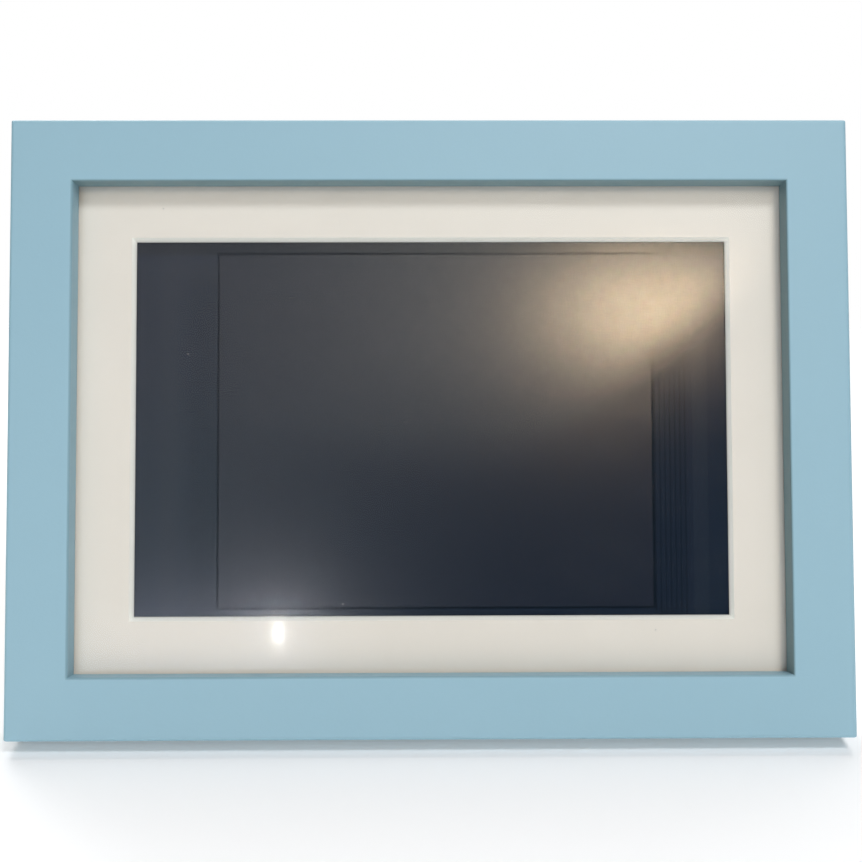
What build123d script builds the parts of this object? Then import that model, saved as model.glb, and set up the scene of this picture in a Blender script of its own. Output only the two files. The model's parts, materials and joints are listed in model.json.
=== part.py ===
from build123d import *
import os
from math import cos, radians, sin

# A 10.1-inch digital photo frame: a mitred painted moulding round a glazed mat and an LCD module,
# with the electronics in a moulded rear cover and an easel leg folded out behind.
#
# Every piece is first drawn upright in the picture's own axes: x to the right, y from the front
# face towards the back, z up the face, with the origin at the middle of the front face.
# main() then leans the whole frame back onto its leg and puts the origin on the table.
# Millimetres and degrees.

# Moulding
FRAME_WIDTH = 308.0
FRAME_HEIGHT = 226.4
RAIL_WIDTH = 22.8
RAIL_DEPTH = 24.0
LIP_DEPTH = 8.4
REBATE = 8.0
OUTER_ROUND = 1.3
CORNER_ROUND = 1.5
LIP_ROUND = 0.8
BACK_ROUND = 0.5

# Glass, mat and LCD module, from the lip backwards
EDGE_GAP = 0.4
GLASS = 1.4
GLASS_TO_MAT = 0.1
MAT = 1.5
MAT_WINDOW = (221.0, 139.8)
MAT_WINDOW_SHIFT = 0.5
GASKET = 0.5
LCD_OUTLINE = (229.5, 149.1)
LCD_WINDOW = (223.2, 141.4)
BEZEL_SHEET = 0.3
LCD_CELL = 1.1
DIFFUSER = 0.3
LIGHT_GUIDE = 1.0
REFLECTOR = 0.2
TRAY_SHEET = 0.4

# Carrier, circuit board and rear cover
POCKET_GAP = 0.4
CARRIER_FLOOR = 1.5
BOARD = (64.0, 96.0, 1.6)
BOARD_CENTRE = (65.0, 8.0)
BOARD_FRONT = 22.4
COVER_WALL = 2.0
COVER_FLANGE = 2.4
HUMP = (204.0, 152.0)
HUMP_BACK = 32.0
HUMP_CORNER = 6.0
HUMP_ROUND = 1.6
CHANNEL_HALF = 26.0
CHANNEL_TOP = 44.0
KEYHOLE_SPACING = 140.0
KEYHOLE_HEIGHT = 61.0
KEYHOLE_RADIUS = 4.5
KEYHOLE_SLOT = 4.4
KEYHOLE_RISE = 8.0
SPEAKER_CENTRE = (64.0, -54.0)
SPEAKER_SIZE = (40.0, 26.0)

# Easel leg
LEAN = 15.0
LEG_OPEN = 29.0
PIVOT_DEPTH = 28.0
PIVOT_HEIGHT = 30.0
PIN_RADIUS = 1.5
PIN_CLEARANCE = 0.05
LEG_THICKNESS = 5.2
LEG_TOP_WIDTH = 40.4
LEG_FOOT_WIDTH = 30.0
LEG_WALL = 1.6
BRACKET_SHEET = 1.0
BRACKET_HALF = 22.0
STOP_CLEARANCE = 0.05

# Places that follow from the sizes above
GLASS_FRONT = LIP_DEPTH
MAT_FRONT = GLASS_FRONT + GLASS + GLASS_TO_MAT
CARRIER_FRONT = MAT_FRONT + MAT
LCD_FRONT = CARRIER_FRONT + GASKET
CELL_FRONT = LCD_FRONT + BEZEL_SHEET
SHEETS_FRONT = CELL_FRONT + LCD_CELL
GUIDE_FRONT = SHEETS_FRONT + DIFFUSER
REFLECTOR_FRONT = GUIDE_FRONT + LIGHT_GUIDE
TRAY_FRONT = REFLECTOR_FRONT + REFLECTOR
LCD_BACK = TRAY_FRONT + TRAY_SHEET
FLOOR_FRONT = LCD_BACK + 0.1
FLOOR_BACK = FLOOR_FRONT + CARRIER_FLOOR
FLANGE_FRONT = RAIL_DEPTH - COVER_FLANGE
CAVITY_BACK = HUMP_BACK - COVER_WALL
BOARD_BACK = BOARD_FRONT + BOARD[2]
WOOD = RAIL_WIDTH - REBATE
INSERT = (FRAME_WIDTH - 2 * WOOD - 2 * EDGE_GAP, FRAME_HEIGHT - 2 * WOOD - 2 * EDGE_GAP)
HUMP_SIDE = HUMP[0] / 2
SIDE_INNER = HUMP_SIDE - COVER_WALL
PORT_END = SIDE_INNER - 0.2

# Fasteners: shank radius, length, head radius, head height
COVER_SCREW = (1.5, 8.0, 2.8, 1.8)
BOARD_SCREW = (1.25, 5.0, 2.4, 1.4)
BRACKET_SCREW = (1.25, 5.0, 2.3, 1.2)
CLIP_SCREW = (1.5, 10.0, 2.8, 1.6)
HOLE_GAP = 0.03

COVER_SCREWS = [(x, z) for x in (-126.0, 126.0) for z in (-60.0, 60.0)] + [(0.0, -86.0), (0.0, 86.0)]
BOARD_SCREWS = [(x, z) for x in (36.5, 93.5) for z in (-36.5, 52.5)]
BRACKET_SCREWS = [(-14.0, 38.5), (14.0, 38.5), (-10.0, 14.0), (10.0, 14.0)]

# Ports and the power button, as heights on the cover's right-hand wall
JACK_HEIGHT = 30.0
USB_HEIGHT = 10.0
SD_HEIGHT = -19.0
BUTTON_HEIGHT = 43.0
JACK_DEPTH = 27.0
BUTTON_DEPTH = 27.0


def slab(width, height, front, back, x=0.0, z=0.0, corner=0.0):
    """A plate parallel to the face, between two depths, centred at x, z."""
    outline = RectangleRounded(width, height, corner) if corner else Rectangle(width, height)
    plane = Plane(origin=(x, front, z), x_dir=(1, 0, 0), z_dir=(0, 1, 0))
    return extrude(plane * outline, back - front)


def block(x_span, y_span, z_span):
    """A box between a low and a high value of x, y and z."""
    spans = (x_span, y_span, z_span)
    sizes = [high - low for low, high in spans]
    middle = [(high + low) / 2 for low, high in spans]
    return Pos(*middle) * Box(*sizes)


def disc(radius, front, back, x, z):
    """A round bar along y."""
    return Pos(x, (front + back) / 2, z) * Rot(90, 0, 0) * Cylinder(radius, back - front)


def bar(radius, left, right, y, z):
    """A round bar along x."""
    return Pos((left + right) / 2, y, z) * Rot(0, 90, 0) * Cylinder(radius, right - left)


def ring(outer, inner, front, back):
    """A rectangular ring parallel to the face."""
    return slab(*outer, front, back) - slab(*inner, front, back)


def screw(size, seat, x, z):
    """A cross-head screw driven forwards, with the underside of its head at the depth seat."""
    shank, length, head, height = size
    body = disc(shank, seat - length, seat, x, z) + disc(head, seat, seat + height, x, z)
    recess = (seat + height / 2, seat + height)
    half_long, half_wide = head * 0.55, head * 0.14
    across = block((x - half_long, x + half_long), recess, (z - half_wide, z + half_wide))
    upright = block((x - half_wide, x + half_wide), recess, (z - half_long, z + half_long))
    return body - across - upright


def screws(size, seat, places):
    return Compound([screw(size, seat, x, z).solid() for x, z in places])


def screw_holes(size, front, back, places):
    """The close holes that a row of screws is driven into."""
    return [disc(size[0] + HOLE_GAP, front, back, x, z) for x, z in places]


# ---------------------------------------------------------------- moulding

def corner_nails():
    """A V-shaped steel wedge driven into the back of each mitre, across the joint."""
    wing, sheet, length = 6.0, 0.6, 9.0
    depth = (RAIL_DEPTH - length, RAIL_DEPTH)
    nails = []
    for side_x in (-1, 1):
        for side_z in (-1, 1):
            x = side_x * (FRAME_WIDTH / 2 - WOOD / 2)
            z = side_z * (FRAME_HEIGHT / 2 - WOOD / 2)
            thin_x = (x - sheet / 2, x + sheet / 2)
            thin_z = (z - sheet / 2, z + sheet / 2)
            along_x = block(sorted((x, x + side_x * wing)), depth, thin_z)
            along_z = block(thin_x, depth, sorted((z, z + side_z * wing)))
            nails.append((along_x + along_z + block(thin_x, depth, thin_z)).solid())
    return Compound(nails)


def clip_places():
    """Where the retaining clips lie: middle x, middle z, and whether they run along x."""
    edge_x = FRAME_WIDTH / 2 - WOOD
    edge_z = FRAME_HEIGHT / 2 - WOOD
    flat = [(x, z, False) for x in (-90.0, 90.0) for z in (-edge_z, edge_z)]
    return flat + [(-edge_x, 0.0, True), (edge_x, 0.0, True)]


def clip_screw_places():
    """One screw a clip, in the wood half of it."""
    places = []
    for x, z, along_x in clip_places():
        step = WOOD / 2
        if along_x:
            places.append((x + (step if x > 0 else -step), z))
        else:
            places.append((x, z + (step if z > 0 else -step)))
    return places


def retaining_clips():
    """Flat steel clips that hold the rear cover in the rebate."""
    long, wide, sheet = 22.0, 10.0, 1.0
    holes = screw_holes(CLIP_SCREW, RAIL_DEPTH, RAIL_DEPTH + sheet, clip_screw_places())
    clips = []
    for (x, z, along_x), hole in zip(clip_places(), holes):
        size = (long, wide) if along_x else (wide, long)
        clips.append((slab(*size, RAIL_DEPTH, RAIL_DEPTH + sheet, x, z, corner=2.0) - hole).solid())
    return Compound(clips)


def rail(length, reach, turn):
    """One side of the moulding, drawn as the top rail and turned about y. reach is from the middle
    of the face to the rail's outer edge."""
    lip_edge = reach - RAIL_WIDTH
    rebate_edge = reach - WOOD
    corners = [
        (0, reach),
        (RAIL_DEPTH, reach),
        (RAIL_DEPTH, rebate_edge),
        (LIP_DEPTH, rebate_edge),
        (LIP_DEPTH, lip_edge),
        (0, lip_edge),
    ]
    profile = make_face(Polyline(*corners, close=True))
    rounds = ((corners[0], OUTER_ROUND), (corners[5], LIP_ROUND), (corners[1], BACK_ROUND))
    for corner, radius in rounds:
        point = Vector(*corner)
        nearest = profile.vertices().sort_by_distance(point)[0]
        profile = fillet(nearest, radius)
    length_of_moulding = extrude(Plane.YZ * profile, length / 2, both=True)
    half = length / 2
    short_half = half - RAIL_WIDTH
    outline = [(-half, reach), (half, reach), (short_half, lip_edge), (-short_half, lip_edge)]
    mitre = extrude(Plane.XZ * make_face(Polyline(*outline, close=True)), -RAIL_DEPTH)
    return Rot(0, turn, 0) * (length_of_moulding & mitre)


def moulding():
    """The four mitred rails, with the slots and pilot holes of their nails and clip screws."""
    nails = corner_nails()
    pilots = screw_holes(CLIP_SCREW, RAIL_DEPTH - CLIP_SCREW[1], RAIL_DEPTH, clip_screw_places())
    corners = slab(FRAME_WIDTH, FRAME_HEIGHT, 0, RAIL_DEPTH, corner=CORNER_ROUND)
    rails = {
        "top_rail": rail(FRAME_WIDTH, FRAME_HEIGHT / 2, 0),
        "right_rail": rail(FRAME_HEIGHT, FRAME_WIDTH / 2, 90),
        "bottom_rail": rail(FRAME_WIDTH, FRAME_HEIGHT / 2, 180),
        "left_rail": rail(FRAME_HEIGHT, FRAME_WIDTH / 2, 270),
    }
    pieces = {}
    for name, wood in rails.items():
        wood = wood & corners
        for cut in [*nails.solids(), *pilots]:
            wood = wood - cut
        pieces[name] = wood.solid()
    pieces["corner_v_nails"] = nails
    return pieces


# ---------------------------------------------------------------- picture

def mat_board():
    """The card mat. Its window is cut a little to the right of centre, with a 45-degree bevel that
    widens towards the front."""
    board = slab(*INSERT, MAT_FRONT, CARRIER_FRONT)
    front_window = (MAT_WINDOW[0] + 2 * MAT, MAT_WINDOW[1] + 2 * MAT)
    plane = Plane(origin=(MAT_WINDOW_SHIFT, MAT_FRONT, 0), x_dir=(1, 0, 0), z_dir=(0, 1, 0))
    window = extrude(plane * Rectangle(*front_window), MAT, taper=45)
    return board - window


def lcd_bezel():
    """The folded steel front of the LCD module."""
    shell = slab(*LCD_OUTLINE, LCD_FRONT, TRAY_FRONT)
    inside = (LCD_OUTLINE[0] - 2 * BEZEL_SHEET, LCD_OUTLINE[1] - 2 * BEZEL_SHEET)
    return shell - slab(*inside, CELL_FRONT, TRAY_FRONT) - slab(*LCD_WINDOW, LCD_FRONT, CELL_FRONT)


def backlight_tray():
    """The folded tray that holds the optical sheets behind the cell."""
    outer = (LCD_OUTLINE[0] - 1.2, LCD_OUTLINE[1] - 1.2)
    inner = (outer[0] - 2 * TRAY_SHEET, outer[1] - 2 * TRAY_SHEET)
    return slab(*outer, SHEETS_FRONT, LCD_BACK) - slab(*inner, SHEETS_FRONT, TRAY_FRONT)


def led_strip():
    """The row of side-firing LEDs on their strip, below the light guide."""
    low = -LCD_OUTLINE[1] / 2 + 1.3
    count, pitch = 18, 12.0
    strip = block((-108, 108), (GUIDE_FRONT, REFLECTOR_FRONT), (low, low + 0.4))
    lamp_depth = (GUIDE_FRONT + 0.1, REFLECTOR_FRONT - 0.1)
    for index in range(count):
        x = (index - (count - 1) / 2) * pitch
        strip += block((x - 1.8, x + 1.8), lamp_depth, (low + 0.4, low + 1.2))
    return strip


def lcd_module():
    """The cell, its bezel and the backlight, stacked from the front backwards."""
    sheet = (LCD_OUTLINE[0] - 2.6, LCD_OUTLINE[1] - 2.6)
    guide_height = sheet[1] - 1.6
    gasket_hole = (MAT_WINDOW[0] + 4, MAT_WINDOW[1] + 4)
    return {
        "lcd_gasket": ring(LCD_OUTLINE, gasket_hole, CARRIER_FRONT, LCD_FRONT),
        "lcd_bezel": lcd_bezel(),
        "lcd_panel": slab(LCD_OUTLINE[0] - 1.2, LCD_OUTLINE[1] - 1.2, CELL_FRONT, SHEETS_FRONT),
        "diffuser_sheets": slab(*sheet, SHEETS_FRONT, GUIDE_FRONT),
        "light_guide": slab(sheet[0], guide_height, GUIDE_FRONT, REFLECTOR_FRONT, z=0.8),
        "led_strip": led_strip(),
        "reflector_sheet": slab(*sheet, REFLECTOR_FRONT, TRAY_FRONT),
        "backlight_tray": backlight_tray(),
    }


# ---------------------------------------------------------------- electronics

DRIVER_BOARD = ((-60.0, 66.0), (LCD_BACK, LCD_BACK + 0.8), (36.0, 44.0))
FLEX_SPAN = (42.0, 64.0)


def lcd_flex():
    """The flat ribbon from the LCD's driver board to the socket under the main board."""
    thickness = 0.2
    low, high = DRIVER_BOARD[1][1] + thickness / 2, BOARD_FRONT - 0.8
    route = Polyline((low, 44.0), (low, 36.0), (high, 24.0), (high, 18.0))
    ribbon = extrude(Plane.YZ * trace(route, thickness), FLEX_SPAN[1] - FLEX_SPAN[0])
    return Pos(FLEX_SPAN[0], 0, 0) * ribbon


def lcd_carrier():
    """The moulded tray behind the mat: it holds the LCD in a pocket and carries the board."""
    plate = slab(*INSERT, CARRIER_FRONT, FLOOR_BACK)
    pocket = (LCD_OUTLINE[0] + 2 * POCKET_GAP, LCD_OUTLINE[1] + 2 * POCKET_GAP)
    plate -= slab(*pocket, CARRIER_FRONT, FLOOR_FRONT)
    plate -= block((-64.0, 70.0), (FLOOR_FRONT, FLOOR_BACK), (28.0, 46.0))
    for x, z in COVER_SCREWS:
        plate += disc(3.5, FLOOR_BACK, FLANGE_FRONT, x, z)
    for x, z in BOARD_SCREWS:
        plate += disc(2.8, FLOOR_BACK, BOARD_FRONT, x, z)
    for hole in screw_holes(COVER_SCREW, RAIL_DEPTH - COVER_SCREW[1] - 0.5, FLANGE_FRONT, COVER_SCREWS):
        plate -= hole
    for hole in screw_holes(BOARD_SCREW, BOARD_BACK - BOARD_SCREW[1] - 0.5, BOARD_FRONT, BOARD_SCREWS):
        plate -= hole
    return plate


def main_board():
    board = slab(BOARD[0], BOARD[1], BOARD_FRONT, BOARD_BACK, *BOARD_CENTRE, corner=2.0)
    for hole in screw_holes(BOARD_SCREW, BOARD_FRONT, BOARD_BACK, BOARD_SCREWS):
        board -= hole
    return board


def board_chips():
    """Memory, power and driver chips soldered to the back of the board."""
    chips = [
        (14.0, 9.0, 1.1, 50.0, 34.0),
        (8.0, 8.0, 0.9, 66.0, 34.0),
        (6.0, 5.0, 1.2, 76.0, 44.0),
        (9.0, 9.0, 3.0, 78.0, 24.0),
    ]
    return Compound([slab(w, h, BOARD_BACK, BOARD_BACK + tall, x, z).solid() for w, h, tall, x, z in chips])


def board_capacitors():
    """Three upright capacitors near the power jack."""
    places = [(84.0, 46.0), (76.0, 51.0), (68.0, 50.0)]
    return Compound([disc(2.5, BOARD_BACK, BOARD_BACK + 5.0, x, z).solid() for x, z in places])


def usb_port():
    """The USB-A receptacle: a folded steel shell and the tongue inside it."""
    width, height, sheet, length = 13.2, 5.6, 0.35, 14.0
    y_span = (BOARD_BACK, BOARD_BACK + height)
    z_span = (USB_HEIGHT - width / 2, USB_HEIGHT + width / 2)
    shell = block((PORT_END - length, PORT_END), y_span, z_span)
    shell -= block(
        (PORT_END - length + 1.0, PORT_END),
        (y_span[0] + sheet, y_span[1] - sheet),
        (z_span[0] + sheet, z_span[1] - sheet),
    )
    tongue = block(
        (PORT_END - length + 1.0, PORT_END - 1.0),
        (y_span[0] + sheet, y_span[0] + sheet + 2.0),
        (z_span[0] + 1.1, z_span[1] - 1.1),
    )
    return {"usb_port": shell, "usb_port_tongue": tongue}


def sd_card_socket():
    """The memory card socket: a low steel shell, open towards the side wall."""
    width, height, depth, sheet = 28.0, 2.9, 26.0, 0.25
    z_span = (SD_HEIGHT - width / 2, SD_HEIGHT + width / 2)
    shell = block((PORT_END - depth, PORT_END), (BOARD_BACK, BOARD_BACK + height), z_span)
    mouth = block(
        (PORT_END - depth + 2.0, PORT_END),
        (BOARD_BACK + sheet, BOARD_BACK + height - sheet),
        (SD_HEIGHT - 12.3, SD_HEIGHT + 12.3),
    )
    return shell - mouth


def power_jack():
    """The moulded power socket, with its round mouth in the side wall and the contact pin inside."""
    z_span = (JACK_HEIGHT - 4.5, JACK_HEIGHT + 4.5)
    body = block((PORT_END - 12.0, PORT_END), (BOARD_BACK, BOARD_BACK + 5.9), z_span)
    body -= bar(2.1, PORT_END - 9.0, PORT_END, JACK_DEPTH, JACK_HEIGHT)
    pin = bar(0.8, PORT_END - 9.0, PORT_END - 1.5, JACK_DEPTH, JACK_HEIGHT)
    return {"power_jack": body, "power_jack_pin": pin}


def power_button():
    """The push button in the side wall, the switch behind it and the plunger that moves with it."""
    plunger_radius, bore_gap = 1.0, 0.1
    switch_end, flange_start, flange_end = 97.3, 98.9, SIDE_INNER - 0.3
    plunger_depth = BUTTON_DEPTH - 0.8
    switch_height = (BUTTON_HEIGHT - 3.0, BUTTON_HEIGHT + 3.0)
    switch = block((91.5, switch_end), (BOARD_BACK, BOARD_BACK + 4.2), switch_height)
    switch -= bar(plunger_radius + bore_gap, 95.6, switch_end, plunger_depth, BUTTON_HEIGHT)
    plunger = bar(plunger_radius, 96.6, flange_start, plunger_depth, BUTTON_HEIGHT)
    flange = block(
        (flange_start, flange_end),
        (BUTTON_DEPTH - 2.7, BUTTON_DEPTH + 2.7),
        (BUTTON_HEIGHT - 5.5, BUTTON_HEIGHT + 5.5),
    )
    head = Plane(origin=(flange_end, BUTTON_DEPTH, BUTTON_HEIGHT), x_dir=(0, 1, 0), z_dir=(1, 0, 0))
    cap = extrude(head * RectangleRounded(4.4, 9.0, 2.0), HUMP_SIDE + 1.0 - flange_end)
    cap = fillet(cap.faces().sort_by(Axis.X)[-1].edges(), 0.5)
    return {"power_switch": switch, "switch_plunger": plunger, "power_button": flange + cap}


def speaker(side):
    """One small box speaker: a rounded frame, and the magnet in front of it."""
    x, z = side * SPEAKER_CENTRE[0], SPEAKER_CENTRE[1]
    frame = slab(*SPEAKER_SIZE, 25.2, CAVITY_BACK - 0.1, x, z, corner=5.0)
    cone = slab(SPEAKER_SIZE[0] - 6, SPEAKER_SIZE[1] - 6, 28.6, CAVITY_BACK - 0.1, x, z, corner=4.0)
    return frame - cone + disc(8.0, 22.6, 25.2, x, z)


def lead(points, bend, radius):
    """A round lead along straight runs joined by arcs."""
    route = FilletPolyline(*points, radius=bend)
    section = Plane(origin=route @ 0, z_dir=route % 0) * Circle(radius)
    return sweep(section, path=route)


def speaker_leads():
    """A lead from each speaker to its plug on the board. The left one crosses above the leg channel."""
    depth, radius, edge = 26.4, 0.8, SPEAKER_CENTRE[1] + SPEAKER_SIZE[1] / 2
    right = lead([(64.0, depth, edge), (64.0, depth, -35.0), (58.0, depth, -28.4)], 5.0, radius)
    left = lead(
        [(-64.0, depth, edge), (-64.0, depth, 30.0), (-40.0, depth, 50.0), (28.0, depth, 50.0),
         (37.0, depth, 44.0), (37.4, depth, 35.0)],
        6.0,
        radius,
    )
    plugs = [slab(4.0, 3.0, BOARD_BACK, depth + 0.8, x, z) for x, z in ((58.0, -27.6), (37.4, 34.2))]
    return Compound([(lead_run + plug).solid() for lead_run, plug in zip((right, left), plugs)])


def wifi_parts():
    """The radio module, its printed aerial on the cover, and the thin cable between them."""
    depth, module_back = 28.2, BOARD_BACK + 2.2
    route = [(-48.5, depth, 38.0), (-45.0, depth, 50.0), (-30.0, depth, 55.0), (20.0, depth, 53.0),
             (38.0, depth, 40.0), (41.0, depth, 21.4)]
    cable = lead(route, 6.0, 0.55)
    cable += disc(1.2, depth - 0.5, CAVITY_BACK - 0.2, -48.5, 38.0)
    cable += disc(1.2, module_back, depth + 0.6, 41.0, 21.4)
    return {
        "wifi_module": slab(13.0, 15.0, BOARD_BACK, module_back, 43.0, 20.0),
        "wifi_antenna": slab(34.0, 9.0, CAVITY_BACK - 0.2, CAVITY_BACK, -64.0, 38.0),
        "antenna_cable": cable,
    }


def electronics():
    """Everything between the LCD's back and the rear cover."""
    return {
        "lcd_driver_board": block(*DRIVER_BOARD),
        "lcd_flex": lcd_flex(),
        "lcd_connector": block((40.0, 66.0), (BOARD_FRONT - 1.5, BOARD_FRONT), (12.0, 18.0)),
        "lcd_carrier": lcd_carrier(),
        "main_board": main_board(),
        "board_screws": screws(BOARD_SCREW, BOARD_BACK, BOARD_SCREWS),
        "board_chips": board_chips(),
        "board_capacitors": board_capacitors(),
        "processor_shield": slab(26.0, 24.0, BOARD_BACK, BOARD_BACK + 2.4, 52.0, -8.0, corner=1.0),
        "sd_card_socket": sd_card_socket(),
        "speaker_left": speaker(-1),
        "speaker_right": speaker(1),
        "speaker_leads": speaker_leads(),
        **usb_port(),
        **power_jack(),
        **power_button(),
        **wifi_parts(),
    }


# ---------------------------------------------------------------- rear cover

def keyhole(x, front, back):
    """A round entry hole with a narrow slot rising from it."""
    top = KEYHOLE_HEIGHT + KEYHOLE_RISE
    half = KEYHOLE_SLOT / 2
    shaft = block((x - half, x + half), (front, back), (KEYHOLE_HEIGHT, top))
    return disc(KEYHOLE_RADIUS, front, back, x, KEYHOLE_HEIGHT) + shaft + disc(half, front, back, x, top)


def vent_row(x, z, count, pitch, width, height):
    """A row of slots through the cover's back wall."""
    places = [x + (index - (count - 1) / 2) * pitch for index in range(count)]
    return [slab(width, height, CAVITY_BACK - 1, HUMP_BACK + 1, place, z, corner=0.7) for place in places]


def cover_shell():
    """The flange in the rebate, the hollow hump behind it and the channel for the leg."""
    hump = slab(*HUMP, FLANGE_FRONT, HUMP_BACK, corner=HUMP_CORNER)
    hump = fillet(hump.faces().sort_by(Axis.Y)[-1].edges(), HUMP_ROUND)
    shell = hump + slab(*INSERT, FLANGE_FRONT, RAIL_DEPTH)
    inner = (INSERT[0] - 2 * COVER_WALL, INSERT[1] - 2 * COVER_WALL)
    shell += ring(INSERT, inner, FLOOR_BACK, FLANGE_FRONT)
    hollow = (HUMP[0] - 2 * COVER_WALL, HUMP[1] - 2 * COVER_WALL)
    cavity = slab(*hollow, FLANGE_FRONT, CAVITY_BACK, corner=HUMP_CORNER - COVER_WALL)
    wall_half = CHANNEL_HALF + COVER_WALL
    wall_height = (-HUMP[1] / 2, CHANNEL_TOP + COVER_WALL)
    cavity -= block((-wall_half, wall_half), (FLANGE_FRONT, CAVITY_BACK), wall_height)
    channel_height = (-HUMP[1] / 2 - 1, CHANNEL_TOP)
    channel = block((-CHANNEL_HALF, CHANNEL_HALF), (RAIL_DEPTH, HUMP_BACK + 1), channel_height)
    return shell - cavity - channel


def port_cuts():
    """The mouths in the side wall for the ports and the button."""
    wall = (SIDE_INNER - 0.5, HUMP_SIDE + 1)
    button = Plane(origin=(wall[0], BUTTON_DEPTH, BUTTON_HEIGHT), x_dir=(0, 1, 0), z_dir=(1, 0, 0))
    return [
        bar(2.7, *wall, JACK_DEPTH, JACK_HEIGHT),
        block(wall, (24.2, 29.5), (USB_HEIGHT - 6.6, USB_HEIGHT + 6.6)),
        block(wall, (24.2, 27.0), (SD_HEIGHT - 12.6, SD_HEIGHT + 12.6)),
        extrude(button * RectangleRounded(5.0, 9.6, 2.3), wall[1] - wall[0]),
    ]


def rear_cover():
    """The moulded back, with keyholes for a wall, port mouths, vents and screw bosses."""
    pocket_half, pocket_wall, pocket_front = 6.0, 1.5, 26.0
    cover = cover_shell()
    for side in (-1, 1):
        x = side * KEYHOLE_SPACING / 2
        outer = (x - pocket_half - pocket_wall, x + pocket_half + pocket_wall)
        cover += block(outer, (pocket_front - 1.2, CAVITY_BACK), (54.6, HUMP[1] / 2 - COVER_WALL))
        cover -= block((x - pocket_half, x + pocket_half), (pocket_front, CAVITY_BACK), (55.8, 72.4))
        cover -= keyhole(x, CAVITY_BACK, HUMP_BACK)
        for cut in vent_row(side * SPEAKER_CENTRE[0], SPEAKER_CENTRE[1], 9, 3.4, 1.6, 16.0):
            cover -= cut
    for cut in [*vent_row(0.0, 59.0, 13, 4.0, 2.0, 14.0), *port_cuts()]:
        cover -= cut
    for x, z in BRACKET_SCREWS:
        cover += disc(2.8, FLANGE_FRONT - 3.4, FLANGE_FRONT, x, z)
    for hole in screw_holes(BRACKET_SCREW, FLANGE_FRONT - 3.2, RAIL_DEPTH, BRACKET_SCREWS):
        cover -= hole
    for hole in screw_holes(COVER_SCREW, FLANGE_FRONT, RAIL_DEPTH, COVER_SCREWS):
        cover -= hole
    return cover


# ---------------------------------------------------------------- easel leg

def stand_bracket():
    """The folded steel bracket, whose two ears hold the hinge pin."""
    foot = (RAIL_DEPTH, RAIL_DEPTH + BRACKET_SHEET)
    bracket = block((-BRACKET_HALF, BRACKET_HALF), foot, (9.0, 43.0))
    for side in (-1, 1):
        span = sorted((side * BRACKET_HALF, side * (BRACKET_HALF - BRACKET_SHEET)))
        ear = block(span, (RAIL_DEPTH, PIVOT_DEPTH), (PIVOT_HEIGHT - 4.0, PIVOT_HEIGHT + 4.0))
        bracket += ear + bar(3.6, *span, PIVOT_DEPTH, PIVOT_HEIGHT)
    bracket -= bar(PIN_RADIUS, -BRACKET_HALF - 1, BRACKET_HALF + 1, PIVOT_DEPTH, PIVOT_HEIGHT)
    for hole in screw_holes(BRACKET_SCREW, *foot, BRACKET_SCREWS):
        bracket -= hole
    return bracket


def hinge_pin():
    """A headed steel pin across the bracket's ears."""
    end = BRACKET_HALF + 1.2
    pin = bar(PIN_RADIUS, -end, end, PIVOT_DEPTH, PIVOT_HEIGHT)
    return pin + bar(2.5, BRACKET_HALF, end, PIVOT_DEPTH, PIVOT_HEIGHT)


def leg_length():
    """From the pivot to where the open leg's middle line meets the table."""
    above_edge = PIVOT_HEIGHT + FRAME_HEIGHT / 2
    behind_edge = PIVOT_DEPTH - (RAIL_DEPTH - BACK_ROUND)
    drop = above_edge * cos(radians(LEAN)) - behind_edge * sin(radians(LEAN))
    return drop / cos(radians(LEG_OPEN - LEAN))


def heel():
    """How far the leg reaches past its pivot, so that its corner meets the bracket when it is open."""
    gap = PIVOT_DEPTH - (RAIL_DEPTH + BRACKET_SHEET) - STOP_CLEARANCE
    back = LEG_THICKNESS / 2
    return (gap - back * cos(radians(LEG_OPEN))) / sin(radians(LEG_OPEN))


def leg_outline(top, bottom, inset=0.0):
    """The leg's tapered outline between two heights, as a face in x and z."""
    length = leg_length()

    def half_width(z):
        share = min(1.0, max(0.0, (PIVOT_HEIGHT - 8.0 - z) / (length - 8.0)))
        return (LEG_TOP_WIDTH + (LEG_FOOT_WIDTH - LEG_TOP_WIDTH) * share) / 2 - inset

    bend = PIVOT_HEIGHT - 8.0
    right = [(half_width(top), top), (half_width(bend), bend), (half_width(bottom), bottom)]
    right = [point for index, point in enumerate(right) if index != 1 or bottom < bend < top]
    left = [(-x, z) for x, z in reversed(right)]
    return make_face(Polyline(*right, *left, close=True))


def leg_slab(top, bottom, front, back, inset=0.0):
    """The leg's outline between two heights and two depths."""
    return Pos(0, front, 0) * extrude(Plane.XZ * leg_outline(top, bottom, inset), -(back - front))


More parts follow.
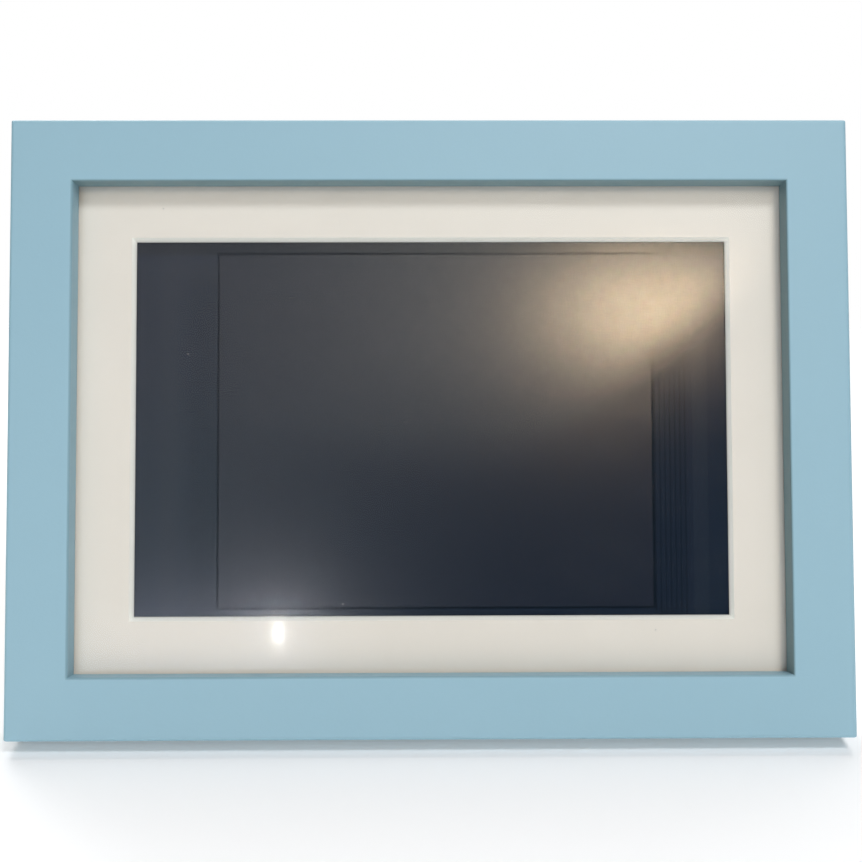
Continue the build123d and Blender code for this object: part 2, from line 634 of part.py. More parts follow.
def folded_leg():
    """The ribbed plastic leg and its rubber shoe, folded flat against the cover."""
    front = PIVOT_DEPTH - LEG_THICKNESS / 2
    back = PIVOT_DEPTH + LEG_THICKNESS / 2
    shoe_top = PIVOT_HEIGHT - leg_length() + 11.0
    shoe_end = PIVOT_HEIGHT - leg_length() - 1.6
    leg = leg_slab(PIVOT_HEIGHT + heel(), shoe_top, front, back)
    leg += bar(LEG_THICKNESS / 2, -LEG_TOP_WIDTH / 2, LEG_TOP_WIDTH / 2, PIVOT_DEPTH, PIVOT_HEIGHT)
    leg -= leg_slab(PIVOT_HEIGHT - 5.0, shoe_top + 3.0, front, back - LEG_WALL, inset=LEG_WALL)
    rib_spacing = (PIVOT_HEIGHT - 26.0 - shoe_top) / 4
    for index in range(4):
        z = shoe_top + rib_spacing * (index + 0.6)
        leg += leg_slab(z + LEG_WALL / 2, z - LEG_WALL / 2, front + 1.4, back, inset=LEG_WALL / 2)
    tongue = leg_slab(shoe_top, shoe_end + 4.5, front + 1.3, back - 1.3, inset=2.0)
    leg += tongue
    leg -= bar(PIN_RADIUS + PIN_CLEARANCE, -BRACKET_HALF, BRACKET_HALF, PIVOT_DEPTH, PIVOT_HEIGHT)
    shoe = leg_slab(shoe_top, shoe_end, front, back) - tongue
    return leg, shoe


def open_leg(piece):
    """Swings a folded piece out about the hinge pin."""
    swing = Pos(0, PIVOT_DEPTH, PIVOT_HEIGHT) * Rot(LEG_OPEN, 0, 0)
    return swing * Pos(0, -PIVOT_DEPTH, -PIVOT_HEIGHT) * piece


def stand():
    leg, shoe = folded_leg()
    return {
        "stand_bracket": stand_bracket(),
        "bracket_screws": screws(BRACKET_SCREW, RAIL_DEPTH + BRACKET_SHEET, BRACKET_SCREWS),
        "stand_hinge_pin": hinge_pin(),
        "stand_leg": open_leg(leg),
        "stand_foot": open_leg(shoe),
    }


# ---------------------------------------------------------------- assembly

def assemble():
    """Every piece, upright, by name."""
    return {
        **moulding(),
        "retaining_clips": retaining_clips(),
        "clip_screws": screws(CLIP_SCREW, RAIL_DEPTH + 1.0, clip_screw_places()),
        "cover_glass": slab(*INSERT, GLASS_FRONT, GLASS_FRONT + GLASS),
        "mat_board": mat_board(),
        **lcd_module(),
        **electronics(),
        "rear_cover": rear_cover(),
        "rear_cover_screws": screws(COVER_SCREW, RAIL_DEPTH, COVER_SCREWS),
        **stand(),
    }


def on_table(pieces):
    """Leans every piece back, cuts the shoe level with the table and puts the origin at the middle
    of the whole object's footprint box, on the table."""
    leaned = {name: Rot(-LEAN, 0, 0) * piece for name, piece in pieces.items()}
    table = leaned["bottom_rail"].bounding_box().min.Z
    size = FRAME_WIDTH
    leaned["stand_foot"] -= block((-size, size), (-size, size), (table - size, table))
    boxes = [piece.bounding_box() for piece in leaned.values()]
    middle_y = (min(box.min.Y for box in boxes) + max(box.max.Y for box in boxes)) / 2
    return {name: Pos(0, -middle_y, -table) * piece for name, piece in leaned.items()}


def main():
    os.makedirs("parts", exist_ok=True)
    for name, piece in on_table(assemble()).items():
        export_step(piece, f"parts/{name}.step")


main()
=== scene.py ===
import json
import math

import bpy
from mathutils import Euler, Matrix, Vector

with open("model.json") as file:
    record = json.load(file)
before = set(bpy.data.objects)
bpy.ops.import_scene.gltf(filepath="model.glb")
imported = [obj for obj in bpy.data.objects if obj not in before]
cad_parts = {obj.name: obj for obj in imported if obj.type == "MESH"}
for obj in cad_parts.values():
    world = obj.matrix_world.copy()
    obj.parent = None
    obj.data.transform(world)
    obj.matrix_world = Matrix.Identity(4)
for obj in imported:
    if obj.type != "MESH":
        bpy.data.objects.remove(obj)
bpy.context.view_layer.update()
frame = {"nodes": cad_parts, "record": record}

RECORD = frame["record"]
MM = 0.001

# ---------------------------------------------------------------- the face's own axes
# x to the viewer's right, up along the leaning face, and out of it towards the viewer.

MOUNTS = {mount["name"]: mount for mount in RECORD["mounts"]}
BACK = Vector(MOUNTS["wall_face"]["axis"]).normalized()
RIGHT = Vector((1.0, 0.0, 0.0))
OUT = -BACK
UP = OUT.cross(RIGHT)
KEYHOLES_BEHIND_FACE = 31.0 * MM
KEYHOLES_ABOVE_MIDDLE = 61.0 * MM
KEYHOLES = (Vector(MOUNTS["keyhole_left"]["pos_m"]) + Vector(MOUNTS["keyhole_right"]["pos_m"])) / 2
FACE = KEYHOLES - BACK * KEYHOLES_BEHIND_FACE - UP * KEYHOLES_ABOVE_MIDDLE
FACE_TURN = Matrix((RIGHT, UP, OUT)).transposed()


def at(x, up, out):
    """The point that lies x, up and out millimetres from the middle of the front face."""
    return FACE + (RIGHT * x + UP * up + OUT * out) * MM


# ---------------------------------------------------------------- node helpers

class Graph:
    """A node tree under construction, with a short call for each kind of node it needs."""

    def __init__(self, tree):
        self.tree = tree

    def node(self, kind, **settings):
        made = self.tree.nodes.new(kind)
        for name, value in settings.items():
            setattr(made, name, value)
        return made

    def feed(self, socket, value):
        """Links a socket, or sets a plain value."""
        if isinstance(value, bpy.types.NodeSocket):
            self.tree.links.new(value, socket)
        elif socket.type == "RGBA":
            socket.default_value = (*value, 1.0)
        else:
            socket.default_value = value

    def math(self, operation, first, second=0.0, clamp=False):
        made = self.node("ShaderNodeMath", operation=operation, use_clamp=clamp)
        self.feed(made.inputs[0], first)
        self.feed(made.inputs[1], second)
        return made.outputs[0]

    def add(self, *values):
        total = values[0]
        for value in values[1:]:
            total = self.math("ADD", total, value)
        return total

    def times(self, *values):
        product = values[0]
        for value in values[1:]:
            product = self.math("MULTIPLY", product, value)
        return product

    def size(self, value):
        """The value without its sign."""
        return self.math("ABSOLUTE", value)

    def ease(self, value, start, end, low=0.0, high=1.0):
        """A smooth step from low to high as value goes from start to end."""
        if start > end:
            start, end, low, high = end, start, high, low
        made = self.node("ShaderNodeMapRange", interpolation_type="SMOOTHSTEP")
        for socket, number in zip(list(made.inputs)[:5], (value, start, end, low, high)):
            self.feed(socket, number)
        return made.outputs[0]

    def band(self, value, low, high, soft):
        """1 between two values, with soft sides."""
        rise = self.ease(value, low - soft, low + soft)
        return self.times(rise, self.ease(value, high - soft, high + soft, 1.0, 0.0))

    def mix(self, share, first, second, blend="MIX"):
        made = self.node("ShaderNodeMix", data_type="RGBA", blend_type=blend)
        self.feed(made.inputs["Factor"], share)
        colours = [socket for socket in made.inputs if socket.type == "RGBA"]
        for socket, colour in zip(colours, (first, second)):
            self.feed(socket, colour)
        return next(socket for socket in made.outputs if socket.type == "RGBA")

    def blend(self, share, first, second):
        """A mix of two shaders."""
        made = self.node("ShaderNodeMixShader")
        for socket, value in zip(made.inputs, (share, first, second)):
            self.feed(socket, value)
        return made.outputs[0]

    def shader(self, kind, **values):
        """One shader node, with its sockets set by name."""
        made = self.node(kind)
        for name, value in values.items():
            self.feed(made.inputs[name], value)
        return made.outputs[0]

    def dot(self, vector, axis):
        made = self.node("ShaderNodeVectorMath", operation="DOT_PRODUCT")
        self.feed(made.inputs[0], vector)
        self.feed(made.inputs[1], axis)
        return made.outputs["Value"]

    def stretch(self, vector, scale):
        made = self.node("ShaderNodeVectorMath", operation="MULTIPLY")
        self.feed(made.inputs[0], vector)
        self.feed(made.inputs[1], scale)
        return made.outputs[0]


class Paint(Graph):
    """A material with one Principled shader."""

    def __init__(self, name):
        self.material = bpy.data.materials.new(name)
        self.material.use_nodes = True
        super().__init__(self.material.node_tree)
        self.principled = self.tree.nodes["Principled BSDF"]

    def set(self, **values):
        """Sets or links the Principled shader's sockets, named with underscores for spaces."""
        for name, value in values.items():
            self.feed(self.principled.inputs[name.replace("_", " ")], value)

    def show(self, surface):
        """Shows another shader in place of the plain Principled one."""
        self.feed(self.tree.nodes["Material Output"].inputs["Surface"], surface)

    def place(self):
        """The shaded point in the face's own axes, in millimetres, as a vector and its three parts."""
        local = self.node("ShaderNodeTexCoord").outputs["Object"]
        shift = self.node("ShaderNodeVectorMath", operation="SUBTRACT")
        self.feed(shift.inputs[0], local)
        self.feed(shift.inputs[1], FACE)
        parts = [self.dot(shift.outputs[0], axis / MM) for axis in (RIGHT, UP, OUT)]
        joined = self.node("ShaderNodeCombineXYZ")
        for socket, part in zip(joined.inputs, parts):
            self.feed(socket, part)
        return joined.outputs[0], parts

    def facing(self, axis):
        """How far the surface faces along axis, from -1 to 1, in the piece's own space."""
        return self.dot(self.node("ShaderNodeTexCoord").outputs["Normal"], axis)

    def noise(self, vector, scale, detail=2.0, roughness=0.5):
        made = self.node("ShaderNodeTexNoise")
        self.feed(made.inputs["Vector"], vector)
        self.feed(made.inputs["Scale"], scale)
        self.feed(made.inputs["Detail"], detail)
        self.feed(made.inputs["Roughness"], roughness)
        return made.outputs["Fac"]

    def cells(self, vector, scale, feature="F1", output="Distance"):
        made = self.node("ShaderNodeTexVoronoi", feature=feature)
        self.feed(made.inputs["Vector"], vector)
        self.feed(made.inputs["Scale"], scale)
        return made.outputs[output]

    def edges(self, radius):
        """A mask that rises towards sharp edges, and the surface's normal with them rounded."""
        rounded = self.node("ShaderNodeBevel", samples=4)
        self.feed(rounded.inputs["Radius"], radius)
        plain = self.node("ShaderNodeNewGeometry").outputs["Normal"]
        bent = self.dot(plain, rounded.outputs[0])
        return self.ease(bent, 0.995, 0.86), rounded.outputs[0]

    def bump(self, height, depth, normal=None, strength=1.0):
        """A bump whose height, from 0 to 1, is depth millimetres deep."""
        made = self.node("ShaderNodeBump")
        self.feed(made.inputs["Strength"], strength)
        self.feed(made.inputs["Distance"], depth * MM)
        self.feed(made.inputs["Height"], height)
        if normal is not None:
            self.feed(made.inputs["Normal"], normal)
        return made.outputs[0]


# ---------------------------------------------------------------- materials

def toned(colour, scale, lift):
    """The colour scaled and lifted, up to white."""
    return tuple(min(1.0, channel * scale + lift) for channel in colour)


# The four rails, in millimetres
HALF_WIDTH, HALF_HEIGHT = 154.0, 113.2
RAIL_WIDTH = 22.8


def frame_paint():
    """Satin light blue paint, rolled on fibreboard, thinner on the back, with a darker line along the
    edge of the opening and painted shade on its top and right inner walls.
    """
    paint = Paint("light_blue_paint")
    vector, (x, up, _) = paint.place()
    across = paint.math("SUBTRACT", paint.size(x), paint.size(up))
    from_mitre = paint.size(paint.add(across, HALF_HEIGHT - HALF_WIDTH))
    from_opening = paint.math(
        "MAXIMUM",
        paint.add(paint.size(x), RAIL_WIDTH - HALF_WIDTH),
        paint.add(paint.size(up), RAIL_WIDTH - HALF_HEIGHT),
    )
    worn, rounded = paint.edges(paint.ease(from_mitre, 1.2, 2.4, 0.0, 0.7 * MM))
    cloud = paint.noise(vector, 0.018, 3.0)
    colour = paint.mix(cloud, (0.281, 0.469, 0.560), (0.291, 0.481, 0.572))
    colour = paint.mix(paint.times(worn, 0.5), colour, (0.33, 0.45, 0.51))
    fibre = paint.noise(paint.stretch(vector, (1.0, 1.0, 0.3)), 1.1, 5.0, 0.65)
    board = paint.mix(fibre, (0.29, 0.20, 0.115), (0.46, 0.34, 0.21))
    behind = paint.ease(paint.facing(BACK), 0.75, 0.95)
    patch = paint.ease(paint.noise(vector, 0.3, 5.0, 0.75), 0.52, 0.75)
    bare = paint.times(behind, patch, 0.3)
    colour = paint.mix(bare, colour, board)
    joint = paint.times(behind, paint.ease(from_mitre, 0.35, 0.1))
    colour = paint.mix(paint.times(joint, 0.75), colour, (0.06, 0.06, 0.055))
    # A darker line along the edge of the opening, where the face turns into the walls.
    opening_edge_line = paint.band(from_opening, 0.05, 0.65, 0.15)
    colour = paint.mix(paint.times(opening_edge_line, 0.3), colour, (0.08, 0.16, 0.18))
    # Painted shade: the top and right walls inside the opening are darkened, as if the light fell from
    # above right.
    inside = paint.ease(from_opening, 0.6, 0.1)
    painted_shade_walls = paint.times(inside, paint.ease(paint.facing((-RIGHT - UP).normalized()), 0.3, 0.6))
    colour = paint.mix(paint.times(painted_shade_walls, 0.7), colour, (0.10, 0.16, 0.155))
    stipple = paint.noise(vector, 0.9, 3.0, 0.55)
    swell = paint.noise(vector, 0.06, 2.0)
    rough = paint.add(paint.times(stipple, 0.12), 0.4, paint.times(bare, 0.5))
    height = paint.add(stipple, paint.times(swell, 1.6))
    paint.set(Base_Color=colour, Roughness=rough, Specular_IOR_Level=0.4)
    paint.set(Normal=paint.bump(height, 0.03, rounded))
    return paint.material


def mat_card():
    """Cream card with a faint felt, and the white core that shows in the bevel, with painted shade at its
    deep edge.
    """
    paint = Paint("cream_mat_card")
    vector, (_, _, out) = paint.place()
    felt = paint.noise(vector, 2.6, 4.0, 0.7)
    mottle = paint.noise(vector, 0.035, 3.0)
    colour = paint.mix(mottle, (0.775, 0.715, 0.655), (0.82, 0.757, 0.697))
    colour = paint.mix(paint.times(felt, 0.14), colour, (0.60, 0.555, 0.48))
    core = paint.ease(paint.size(paint.facing(OUT)), 0.95, 0.8)
    core_colour_and_shade = paint.mix(paint.noise(vector, 5.0, 2.0), (0.88, 0.86, 0.81), (0.95, 0.93, 0.88))
    # Painted shade: the bevel darkens towards its deep edge, beside the screen.
    core_colour_and_shade = paint.mix(paint.ease(out, -10.6, -11.4, 0.0, 0.4), core_colour_and_shade, (0.30, 0.29, 0.27))
    colour = paint.mix(core, colour, core_colour_and_shade)
    fleck = paint.ease(paint.cells(vector, 0.055), 0.022, 0.008)
    colour = paint.mix(paint.times(fleck, 0.7), colour, (0.98, 0.98, 0.98))
    paint.set(Base_Color=colour, Roughness=paint.ease(felt, 0.0, 1.0, 0.78, 0.95))
    paint.set(Normal=paint.bump(felt, 0.03), Specular_IOR_Level=0.2)
    return paint.material


# The switched-off screen, in millimetres from the middle of the face
PICTURE_LEFT, PICTURE_RIGHT = -79.0, 83.0
PICTURE_LOW, PICTURE_HIGH = -66.7, 65.3
PICTURE_RIM = 0.8
TRACES_LEFT, TRACES_RIGHT, TRACES_HIGH = -89.6, 96.0, 61.0
TRACE_PITCH = 1.9
STRIPS = ((98.3, 103.9, 0.4), (-100.8, -94.5, 0.5))
SOFT = 0.15


def lcd_masks(paint, x, up):
    """Where the picture, its rim, the right zone, the traces and the margin above the picture are."""
    picture = paint.times(
        paint.band(x, PICTURE_LEFT, PICTURE_RIGHT, SOFT),
        paint.band(up, PICTURE_LOW, PICTURE_HIGH, SOFT),
    )
    rimmed = paint.times(
        paint.band(x, PICTURE_LEFT - PICTURE_RIM, PICTURE_RIGHT + PICTURE_RIM, SOFT),
        paint.band(up, PICTURE_LOW - PICTURE_RIM, PICTURE_HIGH + PICTURE_RIM, SOFT),
    )
    rim = paint.math("SUBTRACT", rimmed, picture, clamp=True)
    left_zone = paint.band(x, TRACES_LEFT, PICTURE_LEFT - 0.6, SOFT)
    right_zone = paint.band(x, PICTURE_RIGHT + 0.9, TRACES_RIGHT, SOFT)
    below_top = paint.ease(up, TRACES_HIGH + 0.6, TRACES_HIGH - 0.6)
    wave = paint.math("SINE", paint.times(x, 2 * math.pi / TRACE_PITCH))
    traces = paint.times(paint.add(left_zone, right_zone), below_top, paint.ease(wave, 0.55, 0.95))
    margin = paint.times(paint.ease(up, PICTURE_HIGH - 0.5, PICTURE_HIGH + 0.5), 0.6)
    return picture, rim, right_zone, traces, margin


def lcd_screen():
    """The switched-off LCD: its etched front, the picture area and the trace zones each side of it."""
    paint = Paint("lcd_screen")
    vector, (x, up, _) = paint.place()
    picture, rim, right_zone, traces, margin = lcd_masks(paint, x, up)
    strips = paint.add(*(paint.band(x, *strip) for strip in STRIPS))
    colour = paint.mix(picture, (0.0085, 0.0125, 0.0240), (0.0110, 0.0128, 0.0220))
    colour = paint.mix(paint.times(traces, 0.55), colour, (0.002, 0.003, 0.006))
    colour = paint.mix(paint.times(strips, 0.5), colour, (0.016, 0.020, 0.031))
    colour = paint.mix(paint.add(paint.times(rim, 0.85), margin), colour, (0.003, 0.004, 0.006))
    fleck = paint.ease(paint.cells(vector, 0.03), 0.012, 0.004)
    colour = paint.mix(paint.times(fleck, 0.5), colour, (0.5, 0.52, 0.55))
    grain = paint.noise(vector, 0.7, 2.0)
    rough = paint.add(paint.times(grain, 0.03), paint.ease(picture, 0.0, 1.0, 0.125, 0.16))
    paint.set(Base_Color=colour, Roughness=rough, Normal=paint.bump(grain, 0.0006))
    paint.set(Specular_IOR_Level=0.285, IOR=1.5)
    shares = ((rim, 0.6), (traces, 0.32), (right_zone, 0.14), (margin, 0.25))
    dull = paint.add(*(paint.times(mask, share) for mask, share in shares))
    ink = paint.shader("ShaderNodeBsdfDiffuse", Color=(0.005, 0.008, 0.014))
    paint.show(paint.blend(dull, paint.principled.outputs[0], ink))
    return paint.material


# What the glass's finish still mirrors when it is seen straight on
LEAST_REFLECTION = 0.005


def cover_glass():
    """Clear glass with an anti-reflective finish, a little dust and a faint wipe mark."""
    paint = Paint("cover_glass")
    vector, _ = paint.place()
    slant = paint.node("ShaderNodeLayerWeight").outputs["Facing"]
    reflected = paint.add(paint.math("POWER", slant, 5.0), LEAST_REFLECTION)
    clear = paint.shader("ShaderNodeBsdfTransparent", Color=(0.985, 0.995, 0.99))
    mirror = paint.shader("ShaderNodeBsdfGlossy", Color=(0.93, 0.97, 1.0), Roughness=0.0)
    speck = paint.ease(paint.cells(vector, 0.045), 0.016, 0.006)
    wiped = paint.ease(paint.noise(paint.stretch(vector, (0.4, 1.0, 1.0)), 0.05, 3.0, 0.6), 0.45, 0.75)
    dust = paint.add(paint.times(speck, 0.6), paint.times(wiped, 0.004))
    paint.set(Base_Color=(0.75, 0.76, 0.76), Roughness=0.8)
    paint.show(paint.blend(dust, paint.blend(reflected, clear, mirror), paint.principled.outputs[0]))
    return paint.material


def moulded_plastic(name, dark, light, grain=2.2, depth=0.05, rough=0.5):
    """Spark-eroded moulded plastic, a little polished where hands touch its edges."""
    paint = Paint(name)
    vector, _ = paint.place()
    worn, rounded = paint.edges(0.45 * MM)
    texture = paint.noise(vector, grain, 3.0, 0.6)
    pits = paint.cells(vector, grain * 0.8)
    cloud = paint.noise(vector, 0.02, 3.0)
    colour = paint.mix(cloud, dark, light)
    colour = paint.mix(paint.times(worn, 0.3), colour, toned(light, 2.4, 0.01))
    shine = paint.add(paint.times(texture, 0.2), rough - 0.08)
    shine = paint.math("SUBTRACT", shine, paint.times(worn, 0.12))
    height = paint.add(texture, paint.times(pits, 0.5))
    paint.set(Base_Color=colour, Roughness=shine, Normal=paint.bump(height, depth, rounded))
    return paint.material


def plated_metal(name, dark, light, rough=0.3, brushed=(0.4, 6.0, 0.4)):
    """Zinc-plated sheet or wire, with faint rolling lines and a cloudy plate."""
    paint = Paint(name)
    vector, _ = paint.place()
    worn, rounded = paint.edges(0.2 * MM)
    lines = paint.noise(paint.stretch(vector, brushed), 2.0, 3.0, 0.6)
    spangle = paint.cells(vector, 0.45, output="Color")
    cloud = paint.noise(vector, 0.09, 3.0)
    colour = paint.mix(cloud, dark, light)
    colour = paint.mix(paint.times(worn, 0.5), colour, (0.86, 0.86, 0.85))
    grey = paint.dot(spangle, (0.33, 0.33, 0.34))
    shine = paint.add(paint.times(lines, 0.18), rough - 0.08)
    shine = paint.add(shine, paint.times(grey, 0.08))
    paint.set(Base_Color=colour, Metallic=1.0, Roughness=shine, Normal=paint.bump(lines, 0.012, rounded))
    return paint.material


def soft_rubber(name, colour, grain=3.0):
    """Matt rubber, foam or cable sleeve with a fine dusty grain."""
    paint = Paint(name)
    vector, _ = paint.place()
    worn, rounded = paint.edges(0.5 * MM)
    texture = paint.noise(vector, grain, 4.0, 0.7)
    dust = paint.ease(paint.noise(vector, 0.25, 4.0, 0.7), 0.5, 0.8)
    shade = paint.mix(paint.times(dust, 0.35), colour, toned(colour, 2.2, 0.03))
    shade = paint.mix(paint.times(worn, 0.25), shade, toned(colour, 2.8, 0.02))
    paint.set(Base_Color=shade, Roughness=paint.ease(texture, 0.0, 1.0, 0.68, 0.92))
    paint.set(Normal=paint.bump(texture, 0.05, rounded), Specular_IOR_Level=0.3)
    return paint.material


def circuit_board():
    """Green solder mask over copper traces, with tinned pads."""
    paint = Paint("green_circuit_board")
    vector, _ = paint.place()
    flat = paint.stretch(vector, (1.0, 1.0, 0.0))
    bricks = paint.node("ShaderNodeTexBrick", offset=0.37)
    paint.feed(bricks.inputs["Vector"], flat)
    paint.feed(bricks.inputs["Scale"], 0.34)
    paint.feed(bricks.inputs["Mortar Size"], 0.035)
    paint.feed(bricks.inputs["Mortar Smooth"], 0.2)
    traces = bricks.outputs["Fac"]
    pads = paint.ease(paint.cells(flat, 0.42), 0.17, 0.13)
    mask = paint.mix(paint.noise(vector, 0.1, 2.0), (0.008, 0.075, 0.03), (0.012, 0.11, 0.045))
    colour = paint.mix(paint.times(traces, 0.7), mask, (0.03, 0.20, 0.08))
    colour = paint.mix(pads, colour, (0.62, 0.56, 0.38))
    height = paint.math("MAXIMUM", traces, pads)
    paint.set(Base_Color=colour, Metallic=pads, Roughness=paint.ease(pads, 0.0, 1.0, 0.34, 0.28))
    paint.set(Normal=paint.bump(height, 0.03))
    return paint.material


def optical_sheet(name, colour, pitch):
    """White or clear acrylic film with its fine prism lines."""
    paint = Paint(name)
    vector, (_, up, _) = paint.place()
    prisms = paint.math("SINE", paint.times(up, 2 * math.pi / pitch))
    haze = paint.noise(vector, 0.05, 2.0)
    shade = paint.mix(haze, colour, toned(colour, 0.94, 0.0))
    paint.set(Base_Color=shade, Roughness=paint.ease(haze, 0.0, 1.0, 0.22, 0.34))
    paint.set(Normal=paint.bump(paint.ease(prisms, -1.0, 1.0), 0.02))
    return paint.material


# From one conductor of the flat cable to the next, in millimetres
FLEX_PITCH = 1.0


def flex_ribbon():
    """Amber film over copper lines."""
    paint = Paint("amber_flex")
    vector, (x, _, _) = paint.place()
    lines = paint.ease(paint.math("SINE", paint.times(x, 2 * math.pi / FLEX_PITCH)), 0.0, 0.5)
    colour = paint.mix(lines, (0.36, 0.16, 0.03), (0.62, 0.33, 0.10))
    film = paint.noise(vector, 0.6, 2.0)
    paint.set(Base_Color=colour, Roughness=paint.ease(film, 0.0, 1.0, 0.25, 0.4))
    paint.set(Normal=paint.bump(lines, 0.02))
    return paint.material


# ---------------------------------------------------------------- stage, light and camera

# The floor's radius and where it starts to fade, in metres, and its own faint light
FLOOR_RADIUS = 1.6
FLOOR_FADES_FROM = 0.6
FLOOR_GLOW = 0.12


def pale_paper():
    """Plain pale paper that fades into the room far from the frame."""
    paint = Paint("pale_paper")
    local = paint.node("ShaderNodeTexCoord").outputs["Object"]
    tooth = paint.noise(local, 260.0, 3.0, 0.6)
    cloud = paint.noise(local, 1.6, 2.0)
    shade = paint.mix(cloud, (0.96, 0.96, 0.96), (0.945, 0.945, 0.945))
    paint.set(Base_Color=shade, Roughness=paint.ease(tooth, 0.0, 1.0, 0.8, 0.92), Specular_IOR_Level=0.1)
    paint.set(Normal=paint.bump(tooth, 0.05))
    paint.set(Emission_Color=(1.0, 1.0, 1.0), Emission_Strength=FLOOR_GLOW)
    away = paint.node("ShaderNodeVectorMath", operation="LENGTH")
    paint.feed(away.inputs[0], local)
    paint.set(Alpha=paint.ease(away.outputs["Value"], FLOOR_RADIUS, FLOOR_FADES_FROM))
    return paint.material


def floor():
    """A wide round table top that the frame stands on."""
    steps = 64
    rim = [(FLOOR_RADIUS * math.cos(turn), FLOOR_RADIUS * math.sin(turn), 0.0)
           for turn in (2 * math.pi * step / steps for step in range(steps))]
    mesh = bpy.data.meshes.new("pale_floor")
    mesh.from_pydata(rim, [], [list(range(steps))])
    mesh.materials.append(pale_paper())
    made = bpy.data.objects.new("pale_floor", mesh)
    bpy.context.scene.collection.objects.link(made)


def softbox(name, place, target, size, power, colour=(1.0, 1.0, 1.0)):
    """A rectangular softbox at place that points at target."""
    light = bpy.data.lights.new(name, "AREA")
    light.shape = "RECTANGLE"
    light.size, light.size_y = size
    light.energy = power
    light.color = colour
    made = bpy.data.objects.new(name, light)
    made.location = place
    made.rotation_euler = (target - place).to_track_quat("-Z", "Y").to_euler()
    made.visible_camera = False
    bpy.context.scene.collection.objects.link(made)


def blob(graph, across, above, middle, spread):
    """A soft round patch of the room: 1 at its middle, falling away over its spread."""
    sides = []
    for value, centre, reach in zip((across, above), middle, spread):
        sides.append(graph.math("POWER", graph.math("DIVIDE", graph.add(value, -centre), reach), 2.0))
    return graph.math("EXPONENT", graph.times(graph.add(*sides), -1.0))


# Directions in front of the frame are slopes from the line straight out of its face: across, above.
# A slanted edge hides what lies below and to the right of it.
EDGE_ACROSS, EDGE_ABOVE, EDGE_SHIFT = -0.636, 0.772, 0.0342
WINDOW, WINDOW_SPREAD = (0.202, 0.146), (0.078, 0.047)
GLOW, GLOW_SPREAD = (-0.20, -0.168), (0.105, 0.058)
BULB = (-0.1199, -0.1246)
WINDOW_LIGHT = (42.0, 29.5, 18.6)
GLOW_LIGHT = (4.6, 4.6, 5.8)
# The bulb and its two rings of haze: spread and light
BULB_RINGS = (
    ((0.034, 0.030), (8.0, 7.8, 8.8)),
    ((0.0085, 0.0125), (30.0, 26.5, 23.0)),
    ((0.0032, 0.0055), (110.0, 105.0, 98.0)),
)
LOW_RIGHT, LOW_LEFT = (0.08, 0.20, 0.32), (1.10, 1.25, 1.38)
HIGH_LEFT, HIGH_RIGHT = (1.25, 1.25, 1.36), (3.1, 2.95, 2.75)
ROOM_COLOUR = (0.115, 0.113, 0.110)
PALE = (1.0, 1.0, 1.0)


def room():
    """A dim room with a warm window and a small bulb in front; the camera sees it as plain white."""
    world = bpy.data.worlds.new("pale_room")
    world.use_nodes = True
    graph = Graph(world.node_tree)
    direction = graph.node("ShaderNodeTexCoord").outputs["Generated"]
    ahead = graph.dot(direction, OUT)
    safe = graph.math("MAXIMUM", ahead, 0.05)
    across = graph.math("DIVIDE", graph.dot(direction, RIGHT), safe)
    above = graph.math("DIVIDE", graph.dot(direction, UP), safe)

    near = graph.ease(ahead, 0.85, 0.925)
    slant = graph.add(graph.times(across, EDGE_ACROSS), graph.times(above, EDGE_ABOVE), EDGE_SHIFT)
    beside = graph.ease(slant, -0.032, 0.018)
    low = graph.mix(graph.ease(across, 0.10, -0.25), LOW_RIGHT, LOW_LEFT)
    high = graph.mix(graph.ease(across, -0.22, 0.12), HIGH_LEFT, HIGH_RIGHT)
    front = graph.mix(graph.times(graph.ease(above, -0.012, 0.125), beside), low, high)
    colour = graph.mix(near, ROOM_COLOUR, front)

    window = graph.times(blob(graph, across, above, WINDOW, WINDOW_SPREAD), beside)
    glow = blob(graph, across, above, GLOW, GLOW_SPREAD)
    rings = [(blob(graph, across, above, BULB, spread), light) for spread, light in BULB_RINGS]
    for share, light in [(window, WINDOW_LIGHT), (glow, GLOW_LIGHT)] + rings:
        seen = graph.mix(graph.times(share, near), (0.0, 0.0, 0.0), light)
        colour = graph.mix(1.0, colour, seen, "ADD")

    lit = world.node_tree.nodes["Background"]
    graph.feed(lit.inputs["Color"], colour)
    shown = graph.shader("ShaderNodeBackground", Color=PALE)
    seen_directly = graph.node("ShaderNodeLightPath").outputs["Is Camera Ray"]
    surface = world.node_tree.nodes["World Output"].inputs["Surface"]
    graph.feed(surface, graph.blend(seen_directly, lit.outputs[0], shown))
    bpy.context.scene.world = world


def studio():
    """Soft light from above right, a wide one overhead and a weaker one behind."""
    middle = at(0.0, 0.0, 0.0)
    softbox("key_softbox", at(480.0, 1216.0, 1488.0), middle, (0.55, 0.38), 16.0, (0.95, 0.98, 1.03))
    softbox("overhead_softbox", Vector((0.0, 1.7, 4.0)), Vector((0.0, 0.2, 0.0)), (4.0, 2.2), 105.0)
    softbox("back_softbox", Vector((-0.9, 1.6, 1.4)), middle, (0.9, 0.9), 12.0)
    room()


# The viewer's eye, in millimetres from the middle of the face, and its turn in the face's axes
EYE = (-3.8, -21.1, 429.3)
EYE_TURN = tuple(math.radians(angle) for angle in (-2.58, 0.52, 0.14))
FOCAL_WIDTHS = 1180.0 / 862.0
SENSOR_WIDTH = 36.0


def camera():
    """The camera looks almost straight at the leaning face."""
    lens = bpy.data.cameras.new("camera")
    lens.sensor_width = SENSOR_WIDTH
    lens.lens = FOCAL_WIDTHS * SENSOR_WIDTH
    lens.clip_start = 0.01
    made = bpy.data.objects.new("camera", lens)
    turn = FACE_TURN @ Euler(EYE_TURN, "XYZ").to_matrix().transposed()
    made.matrix_world = Matrix.Translation(at(*EYE)) @ turn.to_4x4()
    bpy.context.scene.collection.objects.link(made)
    bpy.context.scene.camera = made


# ---------------------------------------------------------------- dressing the CAD nodes

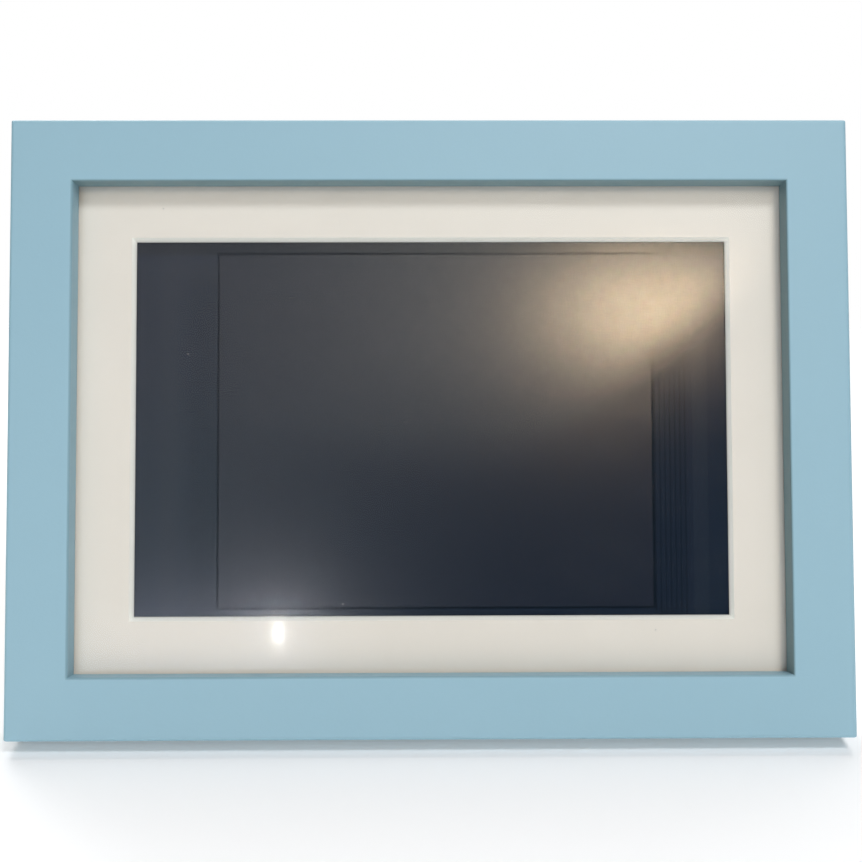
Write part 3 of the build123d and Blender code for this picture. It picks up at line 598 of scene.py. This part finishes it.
# The darker and the lighter colour that each finish varies between
BLACK = ((0.020, 0.021, 0.023), (0.030, 0.031, 0.033))
DEEP_BLACK = ((0.012, 0.012, 0.013), (0.018, 0.018, 0.019))
EPOXY_BLACK = ((0.012, 0.012, 0.013), (0.02, 0.02, 0.021))
BUTTON_GREY = ((0.035, 0.036, 0.04), (0.05, 0.051, 0.055))
IVORY = ((0.70, 0.69, 0.65), (0.78, 0.77, 0.73))
ZINC = ((0.56, 0.57, 0.58), (0.68, 0.68, 0.66))
TIN = ((0.62, 0.62, 0.62), (0.74, 0.74, 0.73))
SCREW_ZINC = ((0.50, 0.51, 0.53), (0.64, 0.63, 0.60))
STEEL = ((0.60, 0.60, 0.60), (0.70, 0.70, 0.69))
ALUMINIUM = ((0.70, 0.70, 0.71), (0.80, 0.80, 0.80))
# How each metal's lines are stretched: turned heads, turned pins and drawn cans
HEAD_LINES, PIN_LINES, CAN_LINES = (3.0, 3.0, 0.3), (0.3, 6.0, 6.0), (4.0, 4.0, 0.3)


def finishes():
    """Each finished material with the CAD nodes that wear it."""
    return (
        (frame_paint(), ("top_rail", "right_rail", "bottom_rail", "left_rail")),
        (mat_card(), ("mat_board",)),
        (lcd_screen(), ("lcd_panel",)),
        (cover_glass(), ("cover_glass",)),
        (moulded_plastic("black_cover_plastic", *BLACK), ("rear_cover", "lcd_carrier")),
        (moulded_plastic("black_leg_plastic", *BLACK, grain=1.6, rough=0.44), ("stand_leg",)),
        (moulded_plastic("black_port_plastic", *DEEP_BLACK, 5.0, 0.015, 0.4),
         ("power_jack", "usb_port_tongue", "lcd_connector", "power_switch", "speaker_left",
          "speaker_right")),
        (moulded_plastic("button_plastic", *BUTTON_GREY, 3.0, 0.02, 0.36), ("power_button",)),
        (moulded_plastic("white_plunger_plastic", *IVORY, 3.0, 0.01, 0.4), ("switch_plunger",)),
        (moulded_plastic("chip_epoxy", *EPOXY_BLACK, 6.0, 0.01, 0.55), ("board_chips",)),
        (plated_metal("zinc_plate", *ZINC),
         ("retaining_clips", "stand_bracket", "backlight_tray", "lcd_bezel", "corner_v_nails")),
        (plated_metal("tinned_shell", *TIN, 0.22),
         ("usb_port", "sd_card_socket", "processor_shield", "wifi_module")),
        (plated_metal("screw_zinc", *SCREW_ZINC, 0.26, HEAD_LINES),
         ("clip_screws", "rear_cover_screws", "board_screws", "bracket_screws")),
        (plated_metal("pin_steel", *STEEL, 0.2, PIN_LINES), ("stand_hinge_pin", "power_jack_pin")),
        (plated_metal("capacitor_can", *ALUMINIUM, 0.3, CAN_LINES), ("board_capacitors",)),
        (soft_rubber("foot_rubber", (0.018, 0.018, 0.018)), ("stand_foot",)),
        (soft_rubber("gasket_foam", (0.02, 0.02, 0.021), 4.0), ("lcd_gasket",)),
        (soft_rubber("cable_sleeve", (0.025, 0.025, 0.027), 5.0), ("speaker_leads", "antenna_cable")),
        (circuit_board(), ("main_board", "lcd_driver_board", "led_strip", "wifi_antenna")),
        (optical_sheet("diffuser_film", (0.86, 0.86, 0.86), 0.5), ("diffuser_sheets", "reflector_sheet")),
        (optical_sheet("guide_acrylic", (0.80, 0.83, 0.84), 1.2), ("light_guide",)),
        (flex_ribbon(), ("lcd_flex",)),
    )


def dress():
    """Gives every CAD node its finished material."""
    for material, nodes in finishes():
        for name in nodes:
            for material_slot in frame["nodes"][name].material_slots:
                material_slot.material = material


def look():
    """Plain colours, as the lights give them."""
    settings = bpy.context.scene.view_settings
    settings.view_transform = "Standard"
    settings.look = "None"


camera()
studio()
floor()
dress()
look()
